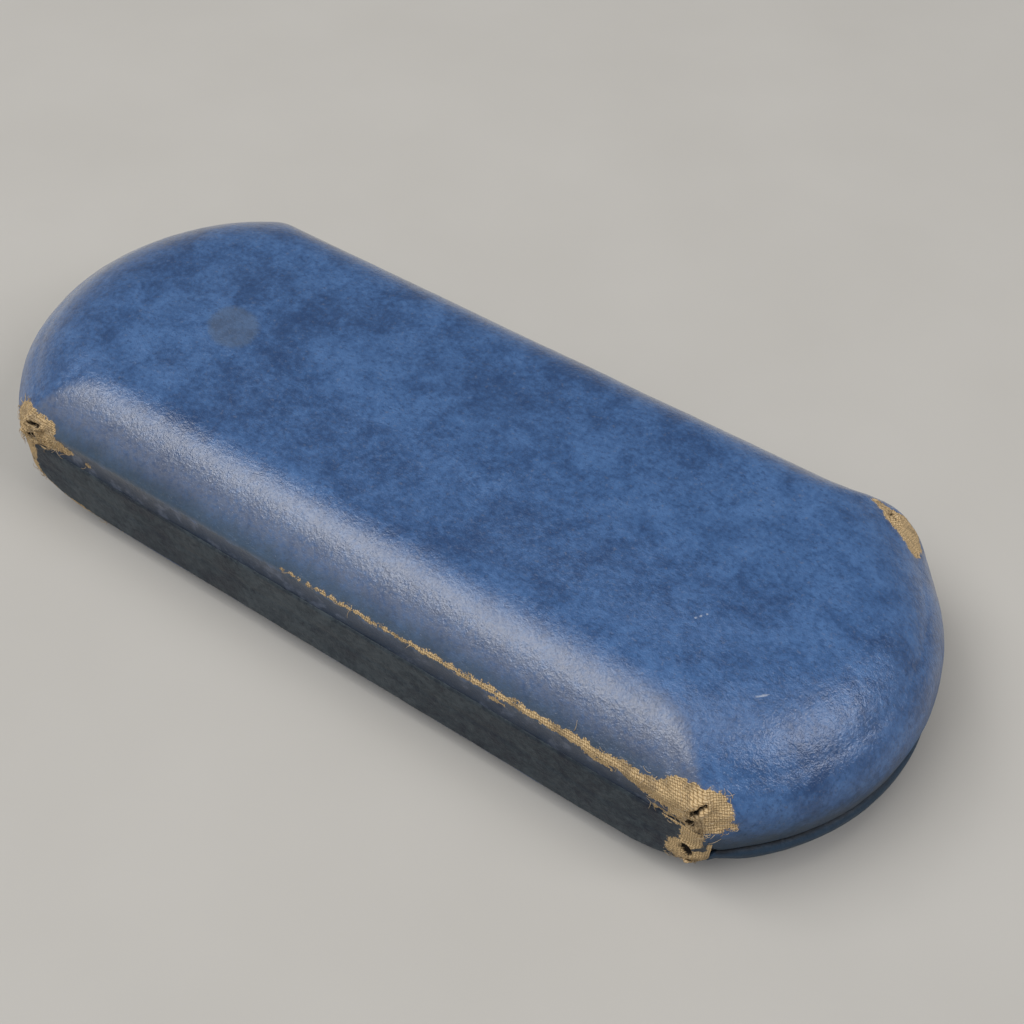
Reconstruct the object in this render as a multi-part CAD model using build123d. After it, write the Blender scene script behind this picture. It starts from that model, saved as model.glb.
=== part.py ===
from build123d import *
import os
from dataclasses import dataclass
from math import radians, tan

os.makedirs("parts", exist_ok=True)

# Hard eyeglasses case: two pressed steel pans with rounded ends, covered outside in coated
# cloth, lined inside with velvet, and joined along one long side by a knuckle hinge.
# X runs along the case, +Y is the hinge side, -Y the opening side, +Z is up, and the origin is
# the middle of the underside. All sizes are in millimetres.

# Driving dimensions of the closed case
CASE_LENGTH = 160.0
CASE_WIDTH = 63.5
END_RADIUS = 38.0
BASE_DEPTH = 9.6
LID_HEIGHT = 17.0
SEAM_GAP = 0.3
LID_ROLL = 11.5
LID_END_REACH = 17.0
LID_END_DROP = 12.5
BASE_ROLL = 4.0
BASE_END_REACH = 25.0
BASE_END_DROP = 9.0

# Layers of each pan, from the outside in
COVER_THICKNESS = 0.6
STEEL_THICKNESS = 0.5
BOARD_THICKNESS = 0.6
WADDING_THICKNESS = 1.0
LINING_THICKNESS = 0.7
GLUE_LINE = 0.02
TURN_IN_DEPTH = 3.5
LINER_RIM_GAP = 0.4
LINER_CORNER_ROLL = 1.0

# Hinge along the back, with its axis just inside the back face
AXIS_INSET = 1.7
PIN_RADIUS = 0.45
PIN_CLEARANCE = 0.03
KNUCKLE_RADIUS = 0.9
KNUCKLE_COUNT = 9
KNUCKLE_GAP = 0.15
LEAF_LENGTH = 104.0
LEAF_THICKNESS = 0.4
LEAF_HEIGHT = 5.4
LEAF_END_ROOM = 2.0
KNUCKLE_NOTCH = 1.1
HINGE_ROOM_RADIUS = 1.15
OPENING_RELIEF_ANGLE = 52.0

# Rivets that hold each hinge leaf to its pan
RIVET_COUNT = 6
RIVET_PITCH = 16.3
RIVET_RADIUS = 0.8
RIVET_HOLE_CLEARANCE = 0.02
RIVET_HEAD_RADIUS = 1.4
RIVET_HEAD_HEIGHT = 0.4
RIVET_FROM_AXIS = 3.2

# Snap springs, bowed between a lug on each leaf
SPRING_X = 31.2
SPRING_WIDTH = 8.0
SPRING_THICKNESS = 0.3
SPRING_END_DEPTH = 0.35
SPRING_BOW_DEPTH = 2.3
SPRING_HALF_HEIGHT = 4.4
LUG_LENGTH = 9.0
LUG_THICKNESS = 0.6
LUG_DEPTH = 1.1
LUG_GAP = 0.1

# Strips that cross the hinge, outside and inside
SPINE_HALF_LENGTH = 60.0
SPINE_UP = 4.6
SPINE_DOWN = 6.0
STRIP_MARGIN = 0.05
RIBBON_HALF_LENGTH = 58.0
RIBBON_THICKNESS = 0.6
RIBBON_DEPTH = 2.95
RIBBON_UP = 8.0
RIBBON_DOWN = 4.6

# Values worked out from the driving dimensions
BACK_Y = CASE_WIDTH / 2
AXIS_Y = BACK_Y - AXIS_INSET
AXIS_Z = BASE_DEPTH + SEAM_GAP / 2
END_CENTRE_X = CASE_LENGTH / 2 - END_RADIUS
STEEL_OUT = COVER_THICKNESS + GLUE_LINE
STEEL_IN = STEEL_OUT + STEEL_THICKNESS
TURN_OUT = STEEL_IN + GLUE_LINE
TURN_IN = TURN_OUT + COVER_THICKNESS
BOARD_OUT = TURN_IN + GLUE_LINE
BOARD_IN = BOARD_OUT + BOARD_THICKNESS
WADDING_OUT = BOARD_IN + GLUE_LINE
WADDING_IN = WADDING_OUT + WADDING_THICKNESS
LINING_OUT = WADDING_IN + GLUE_LINE
LINING_IN = LINING_OUT + LINING_THICKNESS
LINER_BACK_SPACE = AXIS_INSET + RIBBON_DEPTH + RIBBON_THICKNESS + STRIP_MARGIN - BOARD_OUT
LEAF_OUT_Y = BACK_Y - STEEL_IN - GLUE_LINE
KNUCKLE_PITCH = LEAF_LENGTH / KNUCKLE_COUNT
FAR = CASE_LENGTH
SKIRT = 1.0


@dataclass
class Pan:
    """One half of the case, seen as a tray: open face at Z = 0, closed face at Z = depth.

    roll rounds its long sides. Its ends are domed over end_reach inwards and end_drop down.
    """

    name: str
    depth: float
    roll: float
    end_reach: float
    end_drop: float


LID = Pan("lid", LID_HEIGHT, LID_ROLL, LID_END_REACH, LID_END_DROP)
BASE = Pan("base", BASE_DEPTH, BASE_ROLL, BASE_END_REACH, BASE_END_DROP)


def form(pan, inset, back_space=0.0):
    """Solid bounded by the pan's outer surface moved inwards by inset.

    back_space moves the back wall further in, to leave room for the hinge.
    """
    height = pan.depth - inset
    roll = max(pan.roll - inset, LINER_CORNER_ROLL)
    front_y = -BACK_Y + inset
    back_y = BACK_Y - inset - back_space
    section = Plane.YZ * make_face(rolled_section(front_y, back_y, height, roll))
    return domed_body(pan, inset) & extrude(section, FAR, both=True)


def domed_body(pan, inset):
    """Long body with domed ends: one profile, carried along the middle and turned round each end."""
    outline = domed_profile(pan, inset)
    end = revolve(Plane.XZ * make_face(outline), Axis.Z)
    half = extrude(Plane.YZ * make_face(outline), END_CENTRE_X, both=True)
    body = half + mirror(half, Plane.XZ)
    for side in (-1, 1):
        body = body + Pos(side * END_CENTRE_X, 0, 0) * end
    return body


def domed_profile(pan, inset):
    """Half of the body's profile, from its middle out to its edge."""
    radius = END_RADIUS - inset
    height = pan.depth - inset
    reach = pan.end_reach - inset
    drop = pan.end_drop - inset
    shoulder = (radius - reach, height)
    return [
        Line((0, 0), (radius, 0)),
        Line((radius, 0), (radius, height - drop)),
        EllipticalCenterArc((radius - reach, height - drop), reach, drop, start_angle=0, arc_size=90),
        Line(shoulder, (0, height)),
        Line((0, height), (0, 0)),
    ]


def rolled_section(front_y, back_y, height, roll):
    """Outline of the cross-section: straight sides and two rounded top corners."""
    front_top = (front_y, height - roll)
    back_top = (back_y, height - roll)
    return [
        Line((front_y, -SKIRT), front_top),
        RadiusArc(front_top, (front_y + roll, height), roll),
        Line((front_y + roll, height), (back_y - roll, height)),
        RadiusArc((back_y - roll, height), back_top, roll),
        Line(back_top, (back_y, -SKIRT)),
        Line((back_y, -SKIRT), (front_y, -SKIRT)),
    ]


def slab(z_from, z_to):
    """Everything between two heights."""
    upwards = (Align.CENTER, Align.CENTER, Align.MIN)
    return Pos(0, 0, z_from) * Box(2 * FAR, FAR, z_to - z_from, align=upwards)


def axis_room():
    """Space kept clear behind the hinge axis, in a pan's own frame, so that the halves can fold."""
    wedge_length = 2 * AXIS_INSET
    wedge_height = wedge_length * tan(radians(OPENING_RELIEF_ANGLE))
    wedge = Plane.YZ * Polygon((0, 0), (wedge_length, 0), (wedge_length, wedge_height), align=None)
    barrel = Plane.YZ * Circle(HINGE_ROOM_RADIUS)
    return Pos(0, AXIS_Y, -SEAM_GAP / 2) * extrude(wedge + barrel, FAR, both=True)


def spine_window(height):
    """Part of the cover's back wall that the spine strip takes the place of."""
    length = 2 * (SPINE_HALF_LENGTH + STRIP_MARGIN)
    depth = COVER_THICKNESS + GLUE_LINE / 2
    top = height + STRIP_MARGIN
    return Pos(0, BACK_Y - depth, -SEAM_GAP) * Box(
        length, FAR, top + SEAM_GAP, align=(Align.CENTER, Align.MIN, Align.MIN)
    )


def rivet_places():
    """Rivet positions along the hinge, clear of the spring lugs."""
    return [(i - (RIVET_COUNT - 1) / 2) * RIVET_PITCH for i in range(RIVET_COUNT)]


def rivet_shank(x, radius, y_from, y_to):
    """Round bar along Y at a rivet position, in a pan's own frame."""
    bar = Plane.XZ * Circle(radius)
    return Pos(x, y_to, RIVET_FROM_AXIS) * extrude(bar, y_to - y_from)


def rivet_holes(y_from, y_to):
    radius = RIVET_RADIUS + RIVET_HOLE_CLEARANCE
    return Compound([rivet_shank(x, radius, y_from, y_to) for x in rivet_places()])


def cover(pan, spine_height):
    """Coated cloth over the pan, folded round the rim and glued down inside."""
    skin = form(pan, 0) - form(pan, COVER_THICKNESS)
    fold = (form(pan, 0) - form(pan, TURN_IN)) & slab(0, COVER_THICKNESS)
    turn_in = (form(pan, TURN_OUT) - form(pan, TURN_IN)) & slab(0, TURN_IN_DEPTH)
    leaf_room = Pos(0, AXIS_Y, 0) * Box(LEAF_LENGTH + LEAF_END_ROOM, 4 * AXIS_INSET, 4 * LEAF_HEIGHT)
    inside = fold + turn_in - leaf_room
    return skin + inside - axis_room() - spine_window(spine_height)


def shell(pan):
    """Pressed steel pan."""
    body = form(pan, STEEL_OUT) - form(pan, STEEL_IN)
    body = body & slab(COVER_THICKNESS + GLUE_LINE, FAR)
    return body - axis_room() - rivet_holes(BACK_Y - 2 * STEEL_IN, BACK_Y)


def liner_layer(pan, outer, inner, start):
    """One layer of the lining pack, open at the rim."""
    layer = form(pan, outer, LINER_BACK_SPACE) - form(pan, inner, LINER_BACK_SPACE)
    return layer & slab(start, FAR)


def liner_start():
    return LINER_RIM_GAP + LINING_THICKNESS + GLUE_LINE


def board(pan):
    return liner_layer(pan, BOARD_OUT, BOARD_IN, liner_start())


def wadding(pan):
    return liner_layer(pan, WADDING_OUT, WADDING_IN, liner_start())


def lining(pan):
    """Velvet, folded over the top edges of the wadding and the board."""
    pile = liner_layer(pan, LINING_OUT, LINING_IN, LINER_RIM_GAP)
    edge = liner_layer(pan, BOARD_OUT, LINING_IN, LINER_RIM_GAP)
    return pile + (edge & slab(LINER_RIM_GAP, LINER_RIM_GAP + LINING_THICKNESS))


def hinge_leaf(first):
    """Steel strip with every second knuckle, in a pan's own frame, and with two spring lugs."""
    middle_y = LEAF_OUT_Y - LEAF_THICKNESS / 2
    axis_z = -SEAM_GAP / 2
    plate_height = LEAF_HEIGHT - KNUCKLE_NOTCH
    plate_at = Pos(0, middle_y, axis_z + KNUCKLE_NOTCH + plate_height / 2)
    leaf = plate_at * Box(LEAF_LENGTH, LEAF_THICKNESS, plate_height)
    width = KNUCKLE_PITCH - KNUCKLE_GAP
    for index in range(first, KNUCKLE_COUNT, 2):
        x = (index - (KNUCKLE_COUNT - 1) / 2) * KNUCKLE_PITCH
        barrel = Pos(x, AXIS_Y, axis_z) * Rot(0, 90, 0) * Cylinder(KNUCKLE_RADIUS, width)
        web = Pos(x, middle_y, axis_z + KNUCKLE_NOTCH / 2) * Box(width, LEAF_THICKNESS, KNUCKLE_NOTCH)
        leaf = leaf + barrel + web
    bore = Rot(0, 90, 0) * Cylinder(PIN_RADIUS + PIN_CLEARANCE, 2 * LEAF_LENGTH)
    leaf = leaf - Pos(0, AXIS_Y, axis_z) * bore
    lug_y = LEAF_OUT_Y - LEAF_THICKNESS - LUG_DEPTH / 2
    lug_z = axis_z + SPRING_HALF_HEIGHT + LUG_GAP + LUG_THICKNESS / 2
    for side in (-1, 1):
        leaf = leaf + Pos(side * SPRING_X, lug_y, lug_z) * Box(LUG_LENGTH, LUG_DEPTH, LUG_THICKNESS)
    return leaf - rivet_holes(BACK_Y - 2 * STEEL_IN - LUG_DEPTH, BACK_Y)


def leaf_rivets():
    """Rivets flush with the outside of the steel pan, with a flat head inside."""
    outer_y = BACK_Y - STEEL_OUT
    inner_y = LEAF_OUT_Y - LEAF_THICKNESS - GLUE_LINE
    rivets = []
    for x in rivet_places():
        shank = rivet_shank(x, RIVET_RADIUS, inner_y - RIVET_HEAD_HEIGHT, outer_y)
        head = rivet_shank(x, RIVET_HEAD_RADIUS, inner_y - RIVET_HEAD_HEIGHT, inner_y)
        rivets.append(shank + head)
    return Compound(rivets)


def hinge_pin():
    wire = Rot(0, 90, 0) * Cylinder(PIN_RADIUS, LEAF_LENGTH + 1)
    return Pos(0, AXIS_Y, AXIS_Z) * wire


def snap_spring(side):
    """Flat spring bowed inwards, one end against the lug of each hinge leaf."""
    half = SPRING_THICKNESS / 2
    ends = AXIS_Y - SPRING_END_DEPTH
    bow = AXIS_Y - SPRING_BOW_DEPTH
    top = SPRING_HALF_HEIGHT
    outer = ThreePointArc((ends + half, -top), (bow + half, 0), (ends + half, top))
    inner = ThreePointArc((ends - half, -top), (bow - half, 0), (ends - half, top))
    rim = outer + inner + Line(outer @ 0, inner @ 0) + Line(outer @ 1, inner @ 1)
    strip = extrude(Plane.YZ * make_face(rim), SPRING_WIDTH / 2, both=True)
    return Pos(side * SPRING_X, 0, AXIS_Z) * strip


def crossing_strip(half_length, thickness, outer_y, down, up):
    """Flat strip over the hinge line, from down below the axis to up above it."""
    strip = Box(2 * half_length, thickness, down + up, align=(Align.CENTER, Align.MAX, Align.MIN))
    return Pos(0, outer_y, AXIS_Z - down) * strip


def spine_cover():
    """Strip of coated cloth over the outside of the hinge."""
    return crossing_strip(SPINE_HALF_LENGTH, COVER_THICKNESS, BACK_Y, SPINE_DOWN, SPINE_UP)


def hinge_ribbon():
    """Velvet ribbon over the inside of the hinge, glued behind the two linings."""
    return crossing_strip(RIBBON_HALF_LENGTH, RIBBON_THICKNESS, AXIS_Y - RIBBON_DEPTH, RIBBON_DOWN, RIBBON_UP)


def onto_lid(solid):
    return Pos(0, 0, BASE_DEPTH + SEAM_GAP) * solid


def onto_base(solid):
    return Pos(0, 0, BASE_DEPTH) * mirror(solid, Plane.XY)


def pan_pieces(pan, place, spine_height, first_knuckle):
    """Every piece of one half, in place and by node name."""
    return {
        pan.name + "_cover": place(cover(pan, spine_height)),
        pan.name + "_shell": place(shell(pan)),
        pan.name + "_liner_board": place(board(pan)),
        pan.name + "_wadding": place(wadding(pan)),
        pan.name + "_lining": place(lining(pan)),
        pan.name + "_hinge_leaf": place(hinge_leaf(first_knuckle)),
        pan.name + "_leaf_rivets": place(leaf_rivets()),
    }


pieces = pan_pieces(BASE, onto_base, SPINE_DOWN - SEAM_GAP / 2, 0)
pieces.update(pan_pieces(LID, onto_lid, SPINE_UP - SEAM_GAP / 2, 1))
pieces["hinge_pin"] = hinge_pin()
pieces["snap_spring_left"] = snap_spring(-1)
pieces["snap_spring_right"] = snap_spring(1)
pieces["spine_cover"] = spine_cover()
pieces["hinge_ribbon"] = hinge_ribbon()

for node, solid in pieces.items():
    export_step(solid, f"parts/{node}.step")
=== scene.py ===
import math
from itertools import product

import bmesh
import bpy
import numpy as np
from mathutils import Matrix, Vector


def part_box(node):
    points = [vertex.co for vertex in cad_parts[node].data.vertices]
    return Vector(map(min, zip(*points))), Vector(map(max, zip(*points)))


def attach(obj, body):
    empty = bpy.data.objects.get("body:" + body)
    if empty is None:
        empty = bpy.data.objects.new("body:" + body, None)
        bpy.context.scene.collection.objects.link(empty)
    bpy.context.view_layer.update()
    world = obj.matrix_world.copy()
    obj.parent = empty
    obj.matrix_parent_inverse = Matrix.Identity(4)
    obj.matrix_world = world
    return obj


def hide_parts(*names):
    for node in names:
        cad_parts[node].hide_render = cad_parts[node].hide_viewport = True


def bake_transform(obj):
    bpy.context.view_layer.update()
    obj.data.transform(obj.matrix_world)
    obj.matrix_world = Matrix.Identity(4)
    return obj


# Looks of a hard eyeglasses case: blue coated cloth stretched over two pressed steel pans, worn
# through to the tan backing cloth at the hinge-side corners and along the lid's back edge.
# Lengths here are millimetres in the part's frame, and meshes are scaled to metres when made.

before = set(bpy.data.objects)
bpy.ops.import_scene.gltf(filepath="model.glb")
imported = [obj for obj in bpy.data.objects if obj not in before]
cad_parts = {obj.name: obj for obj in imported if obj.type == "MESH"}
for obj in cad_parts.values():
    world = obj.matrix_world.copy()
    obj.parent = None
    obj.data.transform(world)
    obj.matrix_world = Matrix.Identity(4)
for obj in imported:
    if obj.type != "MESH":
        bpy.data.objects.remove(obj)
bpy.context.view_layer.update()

MM = 0.001
SEED = 1907
MERGE = 0.0005
# A distance that counts as well outside every worn place.
FAR_OUT = 9

# ---- Sizes read from the frame ----
base_low, base_high = (np.array(corner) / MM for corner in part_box("base_cover"))
lid_low, lid_high = (np.array(corner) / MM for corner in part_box("lid_cover"))
pin_low, pin_high = (np.array(corner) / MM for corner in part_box("hinge_pin"))
HALF_LENGTH = lid_high[0]
HALF_WIDTH = lid_high[1]
BASE_RIM_Z = base_high[2]
LID_RIM_Z = lid_low[2]
BASE_DEPTH = base_high[2] - base_low[2]
LID_DEPTH = lid_high[2] - lid_low[2]
AXIS_Y = (pin_low[1] + pin_high[1]) / 2
AXIS_Z = (pin_low[2] + pin_high[2]) / 2
AXIS_INSET = HALF_WIDTH - AXIS_Y

# ---- Shape of the pans, as pressed ----
END_RADIUS = 38.0
END_CENTRE = HALF_LENGTH - END_RADIUS
LID_ROLL = 11.5
LID_END_REACH = 17.0
LID_END_DROP = 12.5
BASE_ROLL = 4.0
BASE_END_REACH = 25.0
BASE_END_DROP = 9.0
RIM_CORNER = 2.2
TOP_CORNER = 9.0
CROWN = 0.6

# ---- The cover cloth ----
CLOTH = 0.55
RIM_FOLD = 1.74
SPINE_FOLD = 0.6
TURN_IN = 3.5
RELIEF = 2.25
COAT_STEP = 0.14

# ---- The lining pack, as insets from the outside of a pan ----
LINING_RIM_Z = 0.4
LINING_OUT = 1.8
LINING_BACK = 3.42
LINING_FACE = 4.1
LINER_BACK_SPACE = 3.54
WADDING_OUT = 2.38
WADDING_IN = 3.38
WADDING_START = 1.12

# ---- Mesh spacing, as counts round the outline ----
HALF_LINE_POINTS = 150
CORNER_POINTS = 20
END_POINTS = 130


def smooth(t):
    """0 below 0, 1 above 1, and an even slope between."""
    t = np.clip(t, 0.0, 1.0)
    return t * t * (3 - 2 * t)


def lerp(a, b, t):
    return a + (b - a) * t


def column(values):
    """One value for each level, shaped to go with rings."""
    return np.asarray(values, float)[:, None]


def hill(offset, reach):
    """1 at no offset, dying away smoothly over about reach."""
    return np.exp(-((offset / reach) ** 2))


def value_noise(points, size, seed):
    """Smooth random field from -1 to 1 with features about size across, the same on every run."""
    places = points / size
    cell = np.floor(places).astype(np.int64)
    part = places - cell
    part = part * part * (3 - 2 * part)
    total = np.zeros(points.shape[:-1])
    for step in product((0, 1), repeat=3):
        at = cell + np.array(step)
        mixed = (at[..., 0] * 73856093) ^ (at[..., 1] * 19349663) ^ (at[..., 2] * 83492791)
        mixed = (mixed + seed * 374761393) & 0x7FFFFFFF
        mixed = (mixed ^ (mixed >> 13)) * 1274126177 & 0x7FFFFFFF
        value = ((mixed ^ (mixed >> 16)) & 0xFFFF) / 32767.5 - 1
        weight = np.prod(np.where(np.array(step) == 1, part, 1 - part), axis=-1)
        total += weight * value
    return total


# ---- The plan outline: two end arcs cut by a straight front and back, with eased corners ----
SPREAD_EASE = 0.6


def spread(count):
    """Steps from 0 up to but not 1, closer together near both ends."""
    t = np.arange(count) / count
    return t - SPREAD_EASE * np.sin(2 * np.pi * t) / (2 * np.pi)


def corner_circle(end_inset, side_inset, radius):
    """Centre, turn-off angle and radius of the eased corner between a long side and an end."""
    side = HALF_WIDTH - side_inset
    end = END_RADIUS - end_inset
    radius = np.minimum(radius, 0.98 * side)
    reach = np.sqrt(np.maximum((end - radius) ** 2 - (side - radius) ** 2, 0))
    return END_CENTRE + reach, side - radius, np.arctan2(side - radius, reach), radius


def half_outline(end_inset, near_inset, far_inset, corner):
    """Half a ring: from the middle of the near side, round the +X end, to the far side's middle."""
    near_x, near_y, near_turn, near_r = corner_circle(end_inset, near_inset, corner)
    far_x, far_y, far_turn, far_r = corner_circle(end_inset, far_inset, corner)
    end = END_RADIUS - end_inset
    t = np.arange(HALF_LINE_POINTS) / HALF_LINE_POINTS
    bow = SPREAD_EASE * t * (1 - t)
    corner_steps = np.arange(CORNER_POINTS) / CORNER_POINTS

    def line(x, y, facing):
        across = np.broadcast_to([0.0, facing], x.shape + (2,))
        return np.stack([x, np.broadcast_to(y, x.shape)], -1), across

    def arc(centre_x, centre_y, radius, angle_from, angle_to, steps):
        angle = lerp(angle_from, angle_to, steps)
        towards = np.stack([np.cos(angle), np.sin(angle)], -1)
        centre = np.stack(np.broadcast_arrays(centre_x, centre_y), -1)
        return centre + radius[..., None] * towards, towards

    quarter = np.pi / 2
    runs = [
        line(near_x * (t + bow), -(near_y + near_r), -1.0),
        arc(near_x, -near_y, near_r, -quarter, -near_turn, corner_steps),
        arc(END_CENTRE + 0 * end, 0 * end, end, -near_turn, far_turn, spread(END_POINTS)),
        arc(far_x, far_y, far_r, far_turn, quarter, corner_steps),
        line(far_x * (1 - t + bow), far_y + far_r, 1.0),
    ]
    return [np.concatenate(parts, 1) for parts in zip(*runs)]


def outline(end_inset, front_inset, back_inset, corner):
    """Closed rings in plan, one for each level: points and outward directions, (levels, n, 2)."""
    levels = [column(np.atleast_1d(value)) for value in (end_inset, front_inset, back_inset, corner)]
    end, front, back, corner = np.broadcast_arrays(*levels)
    first = half_outline(end, front, back, corner)
    second = half_outline(end, back, front, corner)
    return [np.concatenate([here, -there], 1) for here, there in zip(first, second)]


rim_points, rim_directions = (a[0] for a in outline(0, 0, 0, RIM_CORNER))
RING = len(rim_points)
# Outline points in the middle of each eased corner.
FRONT_CORNER_PLUS = HALF_LINE_POINTS + CORNER_POINTS // 2
BACK_CORNER_PLUS = FRONT_CORNER_PLUS + CORNER_POINTS + END_POINTS
BACK_CORNER_MINUS = FRONT_CORNER_PLUS + RING // 2
FRONT_CORNER_MINUS = BACK_CORNER_PLUS + RING // 2

# Distance round the rim, from the middle of the front and growing through the +X end.
rim_steps = np.linalg.norm(np.roll(rim_points, -1, 0) - rim_points, axis=1)
rim_along = np.concatenate([[0.0], np.cumsum(rim_steps)[:-1]])


def along_from(index):
    """Distance round the rim from one outline point to every other."""
    return rim_along - rim_along[index]


def facing_share(side):
    """1 along the straight back (side 1) or front (side -1), with an eased step at the corners."""
    return smooth((side * rim_directions[:, 1] - 0.84) / 0.15) * (side * rim_points[:, 1] > 0)


BACK = facing_share(1)
FRONT = facing_share(-1)
ENDS = 1 - BACK - FRONT


def around(at_end, at_front, at_back):
    """Values for each level at the ends, front and back, spread round the outline."""
    return column(at_end) * ENDS + column(at_front) * FRONT + column(at_back) * BACK


# How far the rim is lifted behind the hinge axis, so that the halves can fold.
behind_axis = np.clip((rim_points[:, 1] - AXIS_Y) / AXIS_INSET, 0, 1)
RIM_LIFT = RELIEF * behind_axis
near_hinge = smooth((rim_points[:, 1] - (AXIS_Y - 3)) / 3)
FOLD_WIDTH = lerp(RIM_FOLD, SPINE_FOLD, near_hinge)
TURN_IN_TOP = lerp(TURN_IN, RIM_LIFT + SPINE_FOLD / 2 + 0.1, near_hinge)


# ---- Layers: stacks of outline rings that follow a pan's section ----
class Rings:
    """Rings of points with their outward directions, in a pan's own frame: height is from the rim."""

    def __init__(self, points, directions, height, tilt, rise, proud):
        shape = points.shape[:2]
        self.points = points
        self.directions = directions
        self.height = np.broadcast_to(height, shape)
        self.tilt = np.broadcast_to(tilt, shape)
        self.rise = np.broadcast_to(rise, shape)
        self.proud = np.broadcast_to(proud, shape)


def stack(blocks):
    """Several runs of rings as one."""
    names = ("points", "directions", "height", "tilt", "rise", "proud")
    return Rings(*(np.concatenate([getattr(block, name) for block in blocks]) for name in names))


def hidden(rings):
    """The same rings, marked as lying out of sight."""
    rings.proud = 0 * rings.height
    return rings


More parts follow.
